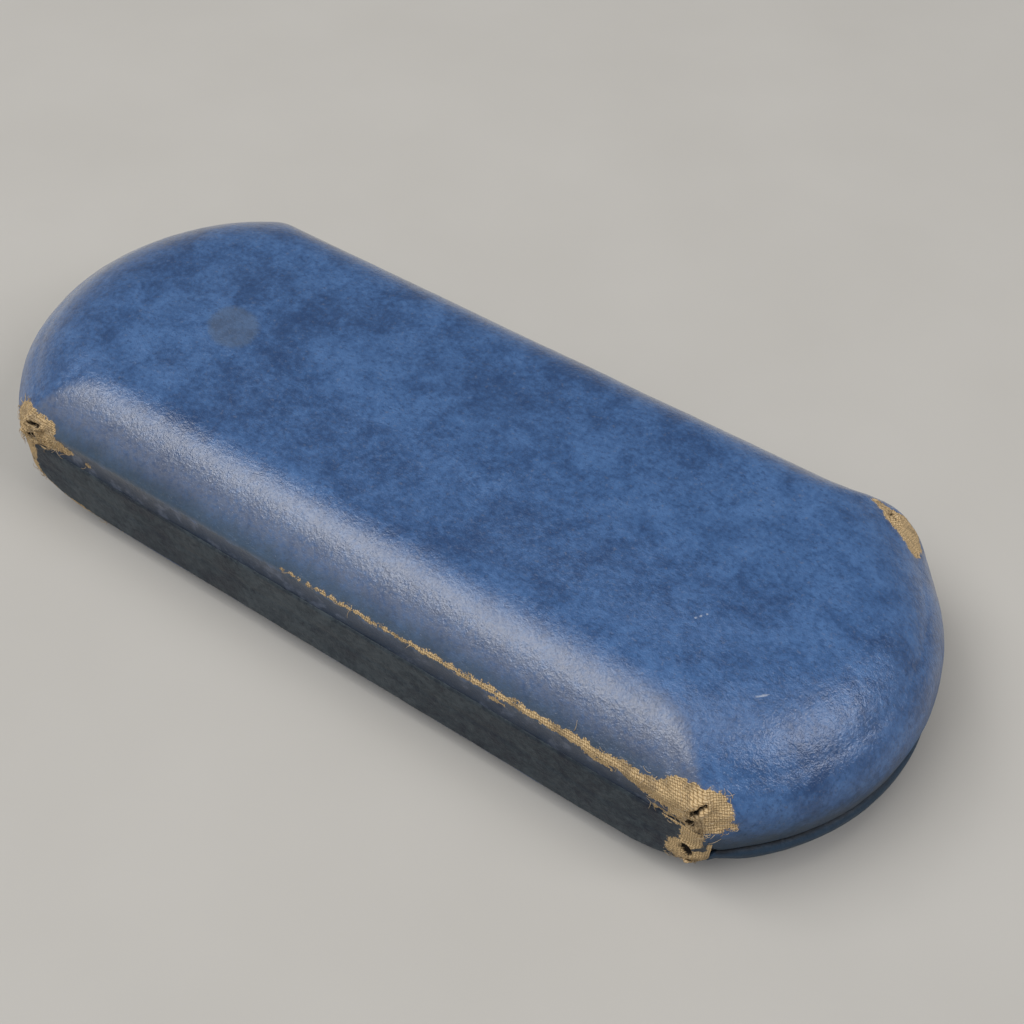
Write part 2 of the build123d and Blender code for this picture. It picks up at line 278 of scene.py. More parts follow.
class Pan:
    """One half of the case: how deep and how rounded it is, and how it stands in the frame."""

    def __init__(self, name, depth, roll, end_reach, end_drop, crown, rim_z, up):
        self.name = name
        self.depth = depth
        self.roll = roll
        self.end_reach = end_reach
        self.end_drop = end_drop
        self.crown = crown
        self.rim_z = rim_z
        self.up = up

    def contour(self, inset, tilt, back_space=0.0):
        """Level curves of the pan moved in by inset: (insets at the ends, front and back), heights."""
        reach = self.end_reach - inset
        drop = self.end_drop - inset
        roll = max(self.roll - inset, 1.0)
        height = self.depth - inset - drop * (1 - np.sin(tilt))
        over_foot = np.clip(height - (self.depth - inset - roll), 0, roll)
        rolled = roll - np.sqrt(np.maximum(roll**2 - over_foot**2, 0))
        sloped = reach * (1 - np.cos(tilt))
        domed = sloped - (END_RADIUS - HALF_WIDTH)
        at_back = inset + np.maximum(np.maximum(rolled, domed - back_space), 0) + back_space
        return (inset + sloped, inset + np.maximum(rolled, domed), at_back), height

    def lifted(self, height, foot):
        """Heights moved up where the rim itself is lifted, easing out by mid-depth."""
        start = self.depth - self.end_drop
        low = np.maximum(start, foot + 0.3)
        share = np.clip((height - start) / (self.depth / 2 - start), 0, 1)
        return height + (low - start) * (1 - share)

    def plan_at(self, height):
        """Outline rings and tilts of the outside at given heights above the rim."""
        tilt = np.arcsin(np.clip((height - self.depth + self.end_drop) / self.end_drop, 0, 1))
        insets, _ = self.contour(0.0, tilt)
        points, directions = outline(*insets, lerp(RIM_CORNER, TOP_CORNER, np.sin(tilt) ** 2))
        end_tilt = np.arctan2(self.end_reach * np.sin(tilt), self.end_drop * np.cos(tilt))
        return points, directions, column(end_tilt) * ENDS

    def roll_rings(self, inset, count, outwards, back_space=0.0, corner=RIM_CORNER, foot=0.0):
        """From the top of the wall to the flat closed face."""
        tilt = np.linspace(0, np.pi / 2, count)
        insets, height = self.contour(inset, tilt, back_space)
        points, directions = outline(*insets, lerp(corner, TOP_CORNER, np.sin(tilt) ** 2))
        climb = np.maximum(np.gradient(height), 1e-6)
        slope = around(*(np.arctan2(np.gradient(at), climb) for at in insets))
        steps = (np.hypot(np.diff(at), np.diff(height)) for at in insets)
        rise = around(*(height[0] + np.concatenate([[0], np.cumsum(step)]) for step in steps))
        heights = self.lifted(np.broadcast_to(column(height), rise.shape), foot)
        order = slice(None, None, -1) if outwards else slice(None)
        return Rings(points[order], directions[order], heights[order], slope[order], rise[order], 1.0)

    def roof_rings(self, inset, count, outwards, back_space=0.0, crown=0.0):
        """The closed face, from its middle out to the roll."""
        t = np.linspace(1, 0, count, endpoint=False) if outwards else np.linspace(0, 1, count + 1)[1:]
        insets, height = self.contour(inset, np.array([0, np.pi / 2]), back_space)
        shrunk = (lerp(at[-1], HALF_WIDTH, t) for at in insets)
        points, directions = outline(*shrunk, lerp(TOP_CORNER, 0.5, t))
        crowned = height[-1] + crown * smooth(column(t))
        shoulder = self.roll_rings(inset, 24, False, back_space).rise[-1]
        rise = shoulder + (HALF_WIDTH - insets[0][-1]) * column(t)
        return Rings(points, directions, crowned, np.pi / 2, rise, 1.0)

    def wall_rings(self, inset, count, outwards, foot, back_space=0.0, corner=RIM_CORNER):
        """The straight wall between the roll and a foot height."""
        t = np.linspace(0, 1, count + 2)[1:-1]
        if not outwards:
            t = t[::-1]
        points, directions = outline(inset + 0 * t, inset, inset + back_space, corner)
        height = lerp(self.lifted(self.depth - self.end_drop, foot), foot, column(t))
        return Rings(points, directions, height, 0.0, height, 1.0)

    def rim_rings(self, offsets, heights, tilts, proud):
        """Rings beside the rim, offset inwards from it point by point."""
        points = rim_points - rim_directions * offsets[..., None]
        return Rings(points, np.broadcast_to(rim_directions, points.shape), heights, tilts, heights, proud)

    def skin(self):
        """The cover's whole surface: outside, round the rim, up inside, and back under itself."""
        foot = RIM_LIFT + FOLD_WIDTH / 2
        turn = column(np.linspace(0, np.pi, 10))
        half_fold = FOLD_WIDTH / 2
        climb = column([0.4, 0.8, 1.0])
        under = np.maximum(FOLD_WIDTH - CLOTH, CLOTH + 0.01)
        turn_back = column(np.linspace(np.pi, 0, 5))
        half_gap = (under - CLOTH) / 2
        under_corner = RIM_CORNER - CLOTH
        sweep = half_fold * (1 - np.cos(turn))
        sweep_back = CLOTH + half_gap * (1 - np.cos(turn_back))
        outside = [
            self.roof_rings(0.0, 26, True, crown=self.crown),
            self.roll_rings(0.0, 52, True, foot=foot),
            self.wall_rings(0.0, 12, True, foot),
            self.rim_rings(sweep, foot - half_fold * np.sin(turn), -turn, np.clip(np.cos(turn), 0, 1)),
            self.rim_rings(FOLD_WIDTH + 0 * climb, lerp(foot, TURN_IN_TOP, climb), np.pi, 0.0),
        ]
        underside = [
            self.rim_rings(under + 0 * climb, lerp(TURN_IN_TOP, foot, climb - climb[0]), 0.0, 0.0),
            self.rim_rings(sweep_back, foot - half_gap * np.sin(turn_back), 0.0, 0.0),
            self.wall_rings(CLOTH, 4, False, foot, corner=under_corner),
            self.roll_rings(CLOTH, 16, False, corner=under_corner, foot=foot),
            self.roof_rings(CLOTH, 8, False, crown=self.crown),
        ]
        return stack(outside + [hidden(block) for block in underside])

    def place(self, points, height):
        """Points in the part's frame, from plan points and heights above the rim."""
        return np.concatenate([points, (self.rim_z + self.up * height)[..., None]], -1)

    def normals(self, rings):
        """Outward directions of the surface, in the part's frame."""
        flat = rings.directions * np.cos(rings.tilt)[..., None]
        return np.concatenate([flat, (self.up * np.sin(rings.tilt))[..., None]], -1)


LID = Pan("lid", LID_DEPTH, LID_ROLL, LID_END_REACH, LID_END_DROP, CROWN, LID_RIM_Z, 1)
BASE = Pan("base", BASE_DEPTH, BASE_ROLL, BASE_END_REACH, BASE_END_DROP, 0.0, BASE_RIM_Z, -1)


# ---- Making meshes ----
def new_mesh(name, vertices, faces, material, attributes=None, merge=0.0):
    """A smooth mesh object from points in millimetres, with its own named vertex attributes."""
    mesh = bpy.data.meshes.new(name)
    mesh.from_pydata((np.asarray(vertices) * MM).tolist(), [], faces)
    rest = mesh.attributes.new("rest_mm", "FLOAT_VECTOR", "POINT")
    rest.data.foreach_set("vector", np.asarray(vertices, np.float32).ravel())
    for key, values in (attributes or {}).items():
        values = np.asarray(values, np.float32)
        if values.ndim == 2:
            layer = mesh.attributes.new(key, "FLOAT_VECTOR", "POINT")
            layer.data.foreach_set("vector", values.ravel())
        else:
            layer = mesh.attributes.new(key, "FLOAT", "POINT")
            layer.data.foreach_set("value", values)
    if merge:
        work = bmesh.new()
        work.from_mesh(mesh)
        bmesh.ops.remove_doubles(work, verts=work.verts, dist=merge * MM)
        bmesh.ops.recalc_face_normals(work, faces=work.faces)
        work.to_mesh(mesh)
        work.free()
    mesh.materials.append(material)
    mesh.shade_smooth()
    piece = bpy.data.objects.new(name, mesh)
    bpy.context.scene.collection.objects.link(piece)
    return piece


def ring_faces(levels, ring, up, around=True):
    """Quads between neighbouring rings; around joins the last point of a ring to its first."""
    faces = []
    last = ring if around else ring - 1
    for k in range(levels - 1):
        here = k * ring
        there = here + ring
        for i in range(last):
            j = (i + 1) % ring
            quad = (here + i, there + i, there + j, here + j)
            faces.append(quad if up > 0 else quad[::-1])
    return faces


def tube_faces(levels, ring, up):
    """Quads of a band whose last level joins its first, with its two ends closed."""
    faces = ring_faces(levels, ring, up, around=False)
    here = (levels - 1) * ring
    for i in range(ring - 1):
        quad = (here + i, i, i + 1, here + i + 1)
        faces.append(quad if up > 0 else quad[::-1])
    start = tuple(k * ring for k in range(levels))
    end = tuple(k * ring + ring - 1 for k in range(levels - 1, -1, -1))
    faces.append(start if up > 0 else start[::-1])
    faces.append(end if up > 0 else end[::-1])
    return faces


# ---- Wear, as signed distances in millimetres over (along the rim, rise above the rim) ----
def capsule(along, rise, start, end, radius_start, radius_end):
    """Distance inside (+) or outside (-) a tapered capsule between two points."""
    run = np.array([end[0] - start[0], end[1] - start[1]])
    t = ((along - start[0]) * run[0] + (rise - start[1]) * run[1]) / max(run @ run, 1e-9)
    t = np.clip(t, 0, 1)
    gap = np.hypot(along - start[0] - t * run[0], rise - start[1] - t * run[1])
    return lerp(radius_start, radius_end, t) - gap


# Each place is a tapered capsule (start, end, radius at the start, radius at the end), with its points
# as (distance along the rim from the named corner, rise above the rim).
WORN = {
    "lid": {
        "back_minus": [
            ((-1.6, 8.6), (0.8, 8.9), 3.4, 3.3),
            ((0.6, 7.4), (4.4, 6.7), 1.8, 0.35),
            ((-2.0, 8.0), (-9.5, 8.6), 2.9, 1.0),
            ((-9.0, 9.2), (-24.0, 9.2), 0.85, 0.5),
            ((-24.0, 9.2), (-72.0, 9.0), 0.45, 0.12),
            ((-17.0, 8.2), (-13.5, 8.0), 0.5, 0.3),
            ((-33.5, 8.0), (-31.5, 7.9), 0.4, 0.3),
            ((-1.2, 2.0), (-1.2, 6.0), 1.5, 1.8),
            ((-3.6, 4.9), (-7.2, 5.2), 0.6, 0.15),
        ],
        "back_plus": [
            ((0.8, 7.8), (-3.4, 7.8), 3.4, 3.0),
            ((-3.6, 6.8), (-10.0, 7.2), 2.3, 0.5),
            ((-0.2, 1.6), (-0.2, 5.0), 1.2, 1.6),
            ((-13.7, 6.6), (-14.4, 6.6), 0.45, 0.3),
        ],
        "front_minus": [
            ((1.4, 14.4), (3.4, 13.6), 1.5, 2.8),
            ((3.4, 13.6), (9.0, 12.8), 2.8, 1.3),
            ((2.4, 11.4), (7.6, 11.2), 1.4, 1.2),
        ],
    },
    "base": {
        "back_minus": [((-2.0, 0.8), (0.0, 1.6), 2.2, 1.8)],
        "back_plus": [
            ((0.0, 1.0), (0.3, 5.2), 1.1, 0.8),
            ((0.3, 5.6), (-6.0, 6.1), 0.8, 0.2),
        ],
    },
}
# Small dark pits with torn rims, in the same form, painted near-black for the shade inside a hole. They
# don't go right through the cloth.
HOLES = {
    "lid": {
        "back_minus": [
            ((-1.5, 6.0), (-0.9, 7.0), 0.5, 0.34),
            ((-0.8, 8.2), (0.6, 10.0), 0.2, 0.1),
        ],
        "back_plus": [
            ((-1.7, 6.0), (-0.5, 5.7), 0.8, 0.5),
            ((-2.2, 9.0), (-0.4, 8.9), 0.4, 0.2),
            ((-4.6, 7.0), (-5.8, 6.5), 0.2, 0.12),
        ],
        "front_minus": [((2.6, 14.6), (3.8, 14.2), 0.42, 0.22)],
    },
    "base": {"back_minus": [((-1.5, -0.2), (-1.0, 0.6), 0.75, 0.6)]},
}


def depth_in(places, along, rise):
    """Distance inside (+) or outside (-) the nearest of the places on one half."""
    gaps = [capsule(along[corner], rise, *place) for corner in places for place in places[corner]]
    return np.max(gaps, axis=0)


def from_corners(shape=(1, RING)):
    """Distance from three corners: negative along the long side, positive round the end."""
    steps = {
        "back_minus": along_from(BACK_CORNER_MINUS),
        "back_plus": -along_from(BACK_CORNER_PLUS),
        "front_minus": -along_from(FRONT_CORNER_MINUS),
    }
    return {corner: np.broadcast_to(step, shape) for corner, step in steps.items()}


def wear_of(pan, rings):
    """Where a cover's points lie along the rim, and how deep in its worn places and holes."""
    along = from_corners(rings.rise.shape)
    worn = depth_in(WORN[pan.name], along, rings.rise)
    return along, worn, depth_in(HOLES[pan.name], along, rings.rise)


def puckers(along, rise, centre, reach):
    """Cloth drawn into radial folds round a worn corner."""
    away = np.hypot(along - centre[0], rise - centre[1])
    angle = np.arctan2(rise - centre[1], along - centre[0])
    return np.sin(7 * angle + 1.3 * np.sin(2 * angle)) * hill(away - reach, 0.6 * reach)


SCUFF_AT = (43.2, 2.0)
SCUFF_SIZE = 5.6
SCRATCHES = [
    ((-60.6, 16.6), (-62.6, 14.8), 0.16, 0.05),
    ((-69.6, 10.9), (-69.9, 10.6), 0.16, 0.05),
    ((-48.0, 10.0), (-49.2, 8.4), 0.16, 0.05),
]


def marks(points):
    """A rubbed oval and three short scratches on the roof, as distances inside (+) or outside (-)."""
    x, y = points[..., 0], points[..., 1]
    turn_x = (x - SCUFF_AT[0]) * 0.8 - (y - SCUFF_AT[1]) * 0.6
    turn_y = (x - SCUFF_AT[0]) * 0.6 + (y - SCUFF_AT[1]) * 0.8
    scuff = SCUFF_SIZE * (1 - np.hypot(turn_x, 1.25 * turn_y) / SCUFF_SIZE)
    return scuff, np.max([capsule(x, y, *scratch) for scratch in SCRATCHES], axis=0)


# ---- How far the cloth stands off the pressed shape ----
RIDGE_RISE = 9.0
RIDGE_PROUD = 0.9
BULGE = 0.7
BULGE_TOP = 13.0
CORNER_SWELL = 1.2
LIP_RISE = 0.95
LIP_PROUD = 0.6
LIP_WIDTH = 1.0
LIP_CORNER_REACH = 4.0
LIP_CORNER_FADE = 0.7
RESTING_CLEAR = 0.13
UNDERSIDE_RISE = 4.0
TORN_RIM = 0.5
HOLE_DEPTH = 0.48


def lid_ridge(rise, along_minus):
    """The crease along the lid's back edge, stronger near one end."""
    to_ridge = np.clip(rise / RIDGE_RISE, 0, 1) ** 4
    past_ridge = np.exp(-np.maximum(rise - RIDGE_RISE, 0) / 1.6)
    swell = 1 + 0.5 * hill(along_minus + 4, 14.0)
    return RIDGE_PROUD * swell * to_ridge * past_ridge


def half_relief(pan, rings, along):
    """The lid's crease and belly, or the base's rolled lip, which is lower at the corners."""
    if pan is LID:
        belly = BULGE * np.sin(np.pi * np.clip(rings.rise / BULGE_TOP, 0, 1))
        return lerp(belly, lid_ridge(rings.rise, along["back_minus"]), BACK)
    corners = (BACK_CORNER_MINUS, BACK_CORNER_PLUS, FRONT_CORNER_MINUS, FRONT_CORNER_PLUS)
    at_corner = np.max([hill(along_from(corner), LIP_CORNER_REACH) for corner in corners], axis=0)
    lip = LIP_PROUD * hill(rings.rise - LIP_RISE, LIP_WIDTH)
    return lip * (1 - BACK) * (1 - LIP_CORNER_FADE * at_corner)


def cover_relief(pan, rings, points, along, worn, pit):
    """How far a cover's points stand off the pressed shape, with its wear, puckers and holes."""
    rise = rings.rise
    ragged = value_noise(points, 0.9, SEED) * 0.7 + value_noise(points, 0.35, SEED + 1) * 0.35
    bare = smooth((worn + ragged + 0.1) / 0.35)
    relief = half_relief(pan, rings, along)
    relief = relief + 0.10 * value_noise(points, 9.0, SEED + 2)
    relief = relief + 0.03 * value_noise(points, 2.2, SEED + 3)
    relief = relief - COAT_STEP * bare + 0.10 * bare * value_noise(points, 0.5, SEED + 4)
    relief = relief + TORN_RIM * hill(pit + 0.4, 0.35) * (1 + 0.8 * value_noise(points, 0.6, SEED + 5))
    if pan is LID:
        relief = relief + 0.16 * puckers(along["back_minus"], rise, (-1.0, 7.5), 3.6)
        relief = relief + 0.14 * puckers(along["back_plus"], rise, (-1.4, 7.2), 3.2)
        relief = relief + CORNER_SWELL * hill(along["front_minus"] - 3.0, 6.0) * hill(rise - 11.0, 5.0)
    else:
        relief = relief - RESTING_CLEAR * np.sin(rings.tilt) ** 2
    return lerp(relief, -HOLE_DEPTH, smooth((pit + 0.05) / 0.25))


def cover_skin(pan, name, node, material):
    """The coated cloth over one pan, replacing its plain CAD solid."""
    rings = pan.skin()
    along, worn, pit = wear_of(pan, rings)
    points = pan.place(rings.points, rings.height)
    outside = rings.proud * smooth(rings.proud * 4)
    relief = cover_relief(pan, rings, points, along, worn, pit) * outside
    points = points + pan.normals(rings) * relief[..., None]
    weave = np.stack([along["back_minus"], rings.rise, 0 * rings.rise], -1)
    scuff, scratch = marks(points)
    below_roof = FAR_OUT * (rings.rise < RIDGE_RISE) if pan is LID else FAR_OUT
    past_back = 0 if pan is LID else smooth((rings.rise - UNDERSIDE_RISE) / 3.0)
    unseen = FAR_OUT * (outside < 0.05)
    attributes = {
        "worn": (worn - unseen).ravel(),
        "pit": (pit - unseen).ravel(),
        "rise": rings.rise.ravel(),
        "back": (BACK * (1 - past_back) + 0 * rings.rise).ravel(),
        "scuff": (scuff - below_roof).ravel(),
        "scratch": (scratch - below_roof).ravel(),
        "weave": weave.reshape(-1, 3),
    }
    faces = ring_faces(len(points), RING, pan.up)
    piece = new_mesh(name, points.reshape(-1, 3), faces, material, attributes, merge=MERGE)
    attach(piece, pan.name)
    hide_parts(node)


# ---- Strips that cross the hinge ----
STRIP_PROUD = 0.3
STRIP_BELOW = 6.0
STRIP_ABOVE = 4.6
AXIS_GROOVE = 0.10
GROOVE_WIDTH = 0.6
STRIP_FRAY = 1.2
STRIP_END = 0.55
STRIP_UNDER = 0.05


def spine_strip(material):
    """Coated cloth strip over the back of the hinge, round both corners, with a shallow groove at the
    hinge axis.
    """
    behind = np.flatnonzero(rim_points[:, 1] > AXIS_Y + STRIP_END)
    part = slice(behind[0], behind[-1] + 1)
    below = np.linspace(STRIP_BELOW, 0.0, 30)
    above = np.linspace(0.3, STRIP_ABOVE, 22)
    base_plan, base_facing, base_tilt = BASE.plan_at(below)
    lid_plan, lid_facing, lid_tilt = LID.plan_at(above)
    plan = np.concatenate([base_plan, lid_plan])[:, part]
    facing = np.concatenate([base_facing, lid_facing])[:, part]
    tilt = np.concatenate([-base_tilt, lid_tilt])[:, part, None]
    level = np.concatenate([BASE_RIM_Z - below, LID_RIM_Z + above])
    height = np.broadcast_to(column(level), plan.shape[:2])
    nominal = np.concatenate([plan, height[..., None]], -1)
    normal = np.concatenate([facing * np.cos(tilt), np.sin(tilt)], -1)
    from_axis = height - AXIS_Z
    along = {corner: step[:, part] + 0 * height for corner, step in from_corners().items()}
    minus = along["back_minus"]
    to_edge = np.minimum(level - level[0], level[-1] - level)
    stand = column(lerp(0.10, STRIP_PROUD, smooth(to_edge / 0.5)))
    stand = stand + lid_ridge(np.maximum(from_axis, 0), minus) * BACK[part]
    stand = stand - AXIS_GROOVE * hill(from_axis, GROOVE_WIDTH)
    stand = stand + 0.06 * value_noise(nominal, 4.0, SEED + 7)
    stand = stand + 0.03 * value_noise(nominal, 0.8, SEED + 8)
    on_base = np.where(from_axis < 2, depth_in(WORN["base"], along, -from_axis), -FAR_OUT)
    on_lid = np.where(from_axis > -2, depth_in(WORN["lid"], along, from_axis), -FAR_OUT)
    past_end = 2 * (np.maximum(minus, along["back_plus"]) - STRIP_FRAY)
    worn = np.max([on_base, on_lid, past_end], axis=0)
    pit = depth_in(HOLES["base"], along, -from_axis)
    stand = lerp(stand + 0.3 * hill(pit + 0.35, 0.3), 0.02, smooth((pit + 0.05) / 0.25))
    points = np.concatenate([nominal + normal * stand[..., None], (nominal - normal * STRIP_UNDER)[::-1]])
    weave = np.stack([minus, height, 0 * height], -1)
    attributes = {
        "worn": np.concatenate([worn, 0 * worn - FAR_OUT]).ravel(),
        "pit": np.concatenate([pit, 0 * pit - FAR_OUT]).ravel(),
        "weave": np.concatenate([weave, weave[::-1]]).reshape(-1, 3),
    }
    faces = tube_faces(len(points), points.shape[1], 1)
    piece = new_mesh("spine_strip", points.reshape(-1, 3), faces, material, attributes)
    bend_at_axis(piece)
    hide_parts("spine_cover")


def bend_at_axis(piece):
    """Bakes the piece's placement into its mesh."""
    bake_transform(piece)


# ---- Linings and pads inside the pans ----
BEAD_DROP = 0.5
PAD_EDGE_DROP = 0.25
LINING_SWELL = 0.22
POCKET_CORNER = 1.2


def pocket_rings(pan, face, back, rim_out, start, edge_drop):
    """A closed layer that follows a pan's inside: its face, its edge by the rim, and its back."""
    space = LINER_BACK_SPACE
    foot = np.full(RING, start + edge_drop)
    foot_behind = foot + 0.2
    turn = np.linspace(0, np.pi, 12)
    edge_in = face - (face - rim_out) / 2 * (1 - np.cos(turn))
    step_in = np.array([rim_out, back])
    edge = outline(edge_in, edge_in, edge_in + space, POCKET_CORNER)
    step = outline(step_in, step_in, step_in + space, POCKET_CORNER)
    facing = [
        pan.roof_rings(face, 22, True, space),
        pan.roll_rings(face, 34, True, space, POCKET_CORNER, foot),
        pan.wall_rings(face, 8, True, foot, space, POCKET_CORNER),
        Rings(*edge, column(start + edge_drop * (1 - np.sin(turn))), column(turn), 0.0, 0.0),
        Rings(*step, start + edge_drop + 0.15, 0.0, 0.0, 0.0),
    ]
    behind = [
        pan.wall_rings(back, 3, False, foot_behind, space, POCKET_CORNER),
        pan.roll_rings(back, 14, False, space, POCKET_CORNER, foot_behind),
        pan.roof_rings(back, 8, False, space),
    ]
    return stack(facing + [hidden(block) for block in behind])


def pocket_piece(pan, name, node, rings, swell, material):
    """The mesh of a lining or a pad, gently uneven on the side that faces the glasses."""
    points = pan.place(rings.points, rings.height)
    uneven = value_noise(points, 13.0, SEED + 20) + 0.5 * value_noise(points, 5.0, SEED + 21)
    points = points - pan.normals(rings) * (swell * uneven * rings.proud)[..., None]
    faces = ring_faces(len(points), RING, -pan.up)
    piece = new_mesh(name, points.reshape(-1, 3), faces, material, merge=MERGE)
    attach(piece, pan.name)
    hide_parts(node)
    return piece


def lining(pan, material):
    """Velvet glued into the pan, with a soft rolled edge under the rim."""
    rings = pocket_rings(pan, LINING_FACE, LINING_BACK, LINING_OUT, LINING_RIM_Z, BEAD_DROP)
    piece = pocket_piece(pan, pan.name + "_velvet", pan.name + "_lining", rings, LINING_SWELL, material)


def pad(pan, material):
    """Thin wadding between the velvet and its board."""
    rings = pocket_rings(pan, WADDING_IN, WADDING_OUT, WADDING_OUT, WADDING_START, PAD_EDGE_DROP)
    piece = pocket_piece(pan, pan.name + "_pad", pan.name + "_wadding", rings, 0.0, material)


# ---- Strips and springs inside the hinge ----
RIBBON_EDGE = 0.35
SPRING_THICKNESS = 0.3


def slab(name, front, behind, material):
    """A closed thin piece between two grids of points, both running upwards and along +X."""
    points = np.concatenate([front, behind[::-1]], 0)
    faces = tube_faces(len(points), points.shape[1], -1)
    return new_mesh(name, points.reshape(-1, 3), faces, material)


def hinge_ribbon(material):
    """Velvet ribbon over the leaves of the hinge."""
    low, high = (np.array(corner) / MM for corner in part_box("hinge_ribbon"))
    along = np.linspace(low[0], high[0], 260)
    level = np.linspace(low[2], high[2], 34)
    x, z = np.meshgrid(along, level)
    to_edge = np.minimum(np.minimum(z - low[2], high[2] - z), np.minimum(x - low[0], high[0] - x))
    swell = smooth(to_edge / RIBBON_EDGE)
    middle = (low[1] + high[1]) / 2
    sheet = np.stack([x, 0 * x + middle, z], -1)
    uneven = 0.12 * value_noise(sheet, 7.0, SEED + 30) + 0.05 * value_noise(sheet, 2.0, SEED + 31)
    front = np.stack([x, middle - (0.12 + 0.2 * swell) - uneven * swell, z], -1)
    behind = np.stack([x, middle + 0.12 + 0.12 * swell, z], -1)
    piece = slab("hinge_ribbon_velvet", front, behind, material)
    bend_at_axis(piece)
    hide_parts("hinge_ribbon")


def snap_spring(side, material):
    """Bowed leaf spring that snaps the lid open and shut."""
    node = "snap_spring_" + side
    low, high = (np.array(corner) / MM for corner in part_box(node))
    across = np.linspace(-1, 1, 9)
    t = np.linspace(-1, 1, 30)
    half_width = (high[0] - low[0]) / 2 * (1 - 0.12 * np.abs(t) ** 8)
    x = (low[0] + high[0]) / 2 + column(half_width) * across
    z = (low[2] + high[2]) / 2 + (high[2] - low[2]) / 2 * column(t) + 0 * x
    bow = high[1] - low[1] - SPRING_THICKNESS
    front_y = low[1] + bow * t**2
    edge = 0.06 * np.abs(across) ** 12
    front = np.stack([x, column(front_y) + edge, z], -1)
    behind = np.stack([x, column(front_y) + SPRING_THICKNESS - edge, z], -1)
    piece = slab(node + "_leaf", front, behind, material)
    bend_at_axis(piece)
    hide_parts(node)


# ---- Frayed threads round the worn corners ----
THREAD_RADIUS = 0.055
THREAD_SIDES = 5
THREAD_STEPS = 6
THREAD_LENGTHS = (0.4, 1.2)
THREAD_LIFTS = (0.08, 0.45)
LONG_THREADS = 0.12
BACK_CORNER_REACH = 9
FRONT_CORNER_REACH = 8
STRAY_THREADS = 0.12


def thread_path(root, normal, rng):
    """One short curled thread's middle line, from its root in the cloth."""
    sideways = np.cross(normal, rng.normal(size=3))
    sideways /= np.linalg.norm(sideways)
    length = rng.uniform(*THREAD_LENGTHS) * (1.8 if rng.random() < LONG_THREADS else 1.0)
    lift = rng.uniform(*THREAD_LIFTS)
    curl = rng.normal(size=3) * 0.55
    t = column(np.linspace(0, 1, THREAD_STEPS))
    heading = sideways * length * t + np.cross(sideways, curl) * length * t**2
    heading = heading - normal * column(heading @ normal)
    return root + normal * (0.05 + lift * np.sin(np.pi * 0.8 * t)) + heading


def thread_tube(path, normal):
    """Rings of points round a thread's middle line, thinner towards its tip."""
    turn = np.linspace(0, 2 * np.pi, THREAD_SIDES, endpoint=False)
    rings = []
    for k in range(THREAD_STEPS):
        ahead = path[min(k + 1, THREAD_STEPS - 1)] - path[max(k - 1, 0)]
        ahead /= np.linalg.norm(ahead)
        u = np.cross(ahead, normal + 0.01)
        u /= np.linalg.norm(u)
        v = np.cross(ahead, u)
        radius = THREAD_RADIUS * (1 - 0.55 * k / (THREAD_STEPS - 1))
        rings += [path[k] + radius * (np.cos(a) * u + np.sin(a) * v) for a in turn]
    return rings


def thread_mesh(name, roots, normals, body, material):
    """Short curled threads standing on the given points."""
    rng = np.random.default_rng(SEED + len(roots))
    tube = ring_faces(THREAD_STEPS, THREAD_SIDES, -1)
    tube.append(tuple(range(THREAD_SIDES))[::-1])
    tube.append(tuple(range((THREAD_STEPS - 1) * THREAD_SIDES, THREAD_STEPS * THREAD_SIDES)))
    vertices = []
    faces = []
    for root, normal in zip(roots, normals):
        faces += [tuple(len(vertices) + i for i in face) for face in tube]
        vertices += thread_tube(thread_path(root, normal, rng), normal)
    piece = new_mesh(name, np.array(vertices), faces, material)
    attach(piece, body)


def frayed_threads(pan, count, material):
    """Threads picked at random over the worn cloth and round its edges."""
    rings = pan.skin()
    along, worn, pit = wear_of(pan, rings)
    points = pan.place(rings.points, rings.height)
    near_axis = (points[..., 1] > AXIS_Y - 1) & (np.abs(points[..., 2] - AXIS_Z) < RELIEF + 0.6)
    chance = hill(worn, 0.5) + 0.3 * (worn > 0) + 2.5 * hill(pit + 0.3, 0.35)
    off_back = np.maximum(along["back_minus"], along["back_plus"]) < -BACK_CORNER_REACH
    off_front = np.abs(along["front_minus"] - 3) > FRONT_CORNER_REACH
    chance = chance * np.where(off_back & off_front, STRAY_THREADS, 1.0)
    chance = chance * (rings.proud > 0.9) * (~near_axis) * (worn > -0.9)
    spacing = np.linalg.norm(np.roll(points, -1, 1) - points, axis=-1)
    chance = (chance * spacing).ravel()
    rng = np.random.default_rng(SEED + 40)
    picked = rng.choice(len(chance), size=count, replace=False, p=chance / chance.sum())
    normal = pan.normals(rings).reshape(-1, 3)[picked]
    stand = half_relief(pan, rings, along).ravel()[picked] - 0.05
    roots = points.reshape(-1, 3)[picked] + normal * column(stand)
    thread_mesh(pan.name + "_frayed_threads", roots, normal, pan.name, material)


